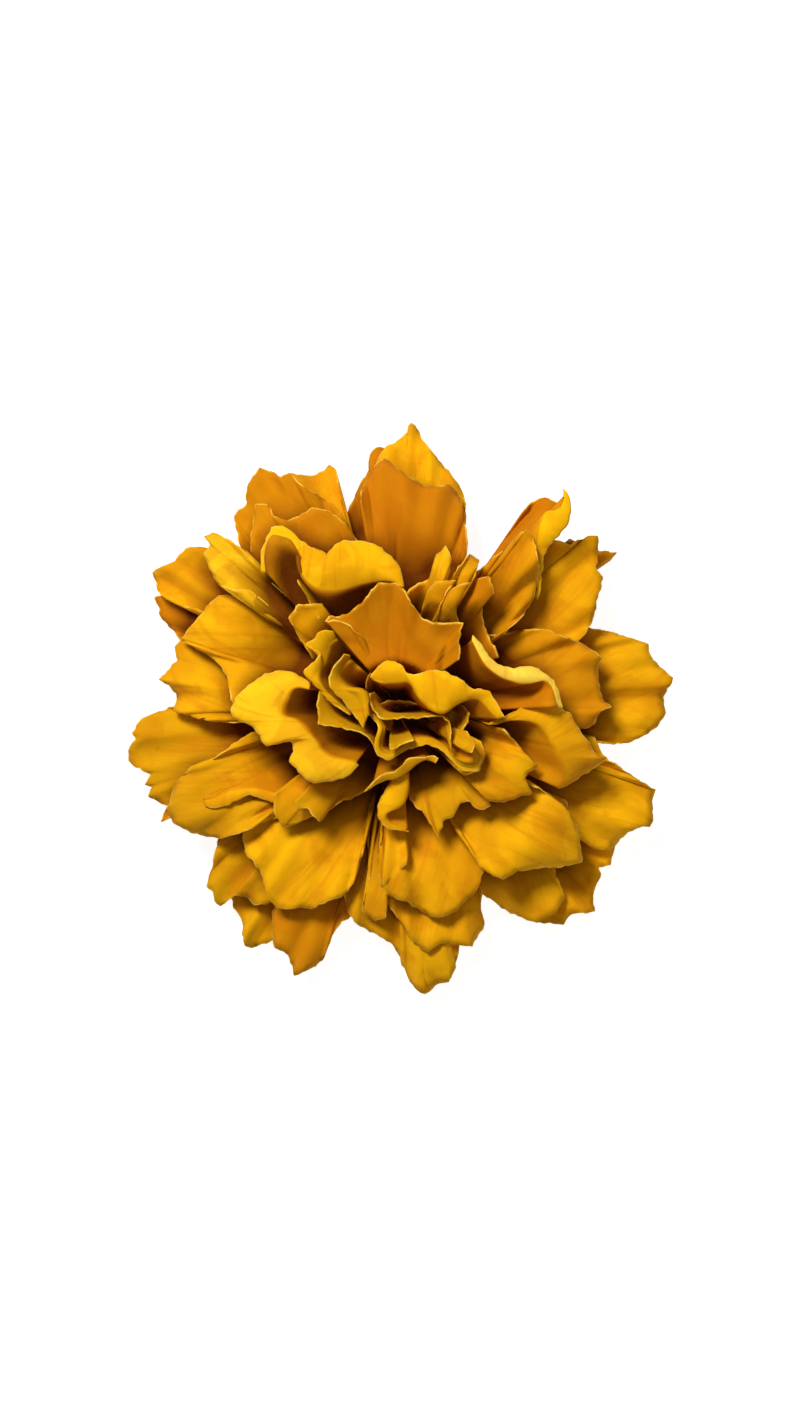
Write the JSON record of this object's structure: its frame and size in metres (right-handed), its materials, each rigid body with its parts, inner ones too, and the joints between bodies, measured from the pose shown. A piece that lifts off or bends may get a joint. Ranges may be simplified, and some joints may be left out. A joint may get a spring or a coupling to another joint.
{
  "type": "fabric dahlia flower head",
  "caption": "Double dahlia head of curled fabric petals threaded on a plastic hub with a flat back.",
  "frame": {"origin": "centre of the hub's flat back face, which the flower lies on", "axes": "+Z out of the flower's heart towards whoever looks into it, +Y to the top of the flower as pictured, +X to its right"},
  "size_m": [0.1376, 0.1444, 0.0471],
  "materials": {
    "petal_fabric": "matt mustard-yellow woven polyester, heat-cut",
    "hub_plastic": "matt moulded green plastic"
  },
  "bodies": {
    "root": {"hub": "hub_plastic", "cap": "hub_plastic", "petal_sheet_01": "petal_fabric", "petal_sheet_02": "petal_fabric", "petal_sheet_03": "petal_fabric", "petal_sheet_04": "petal_fabric", "petal_sheet_05": "petal_fabric", "petal_sheet_06": "petal_fabric", "petal_sheet_07": "petal_fabric", "petal_sheet_08": "petal_fabric", "petal_sheet_09": "petal_fabric", "petal_sheet_10": "petal_fabric"}
  },
  "joints": []
}
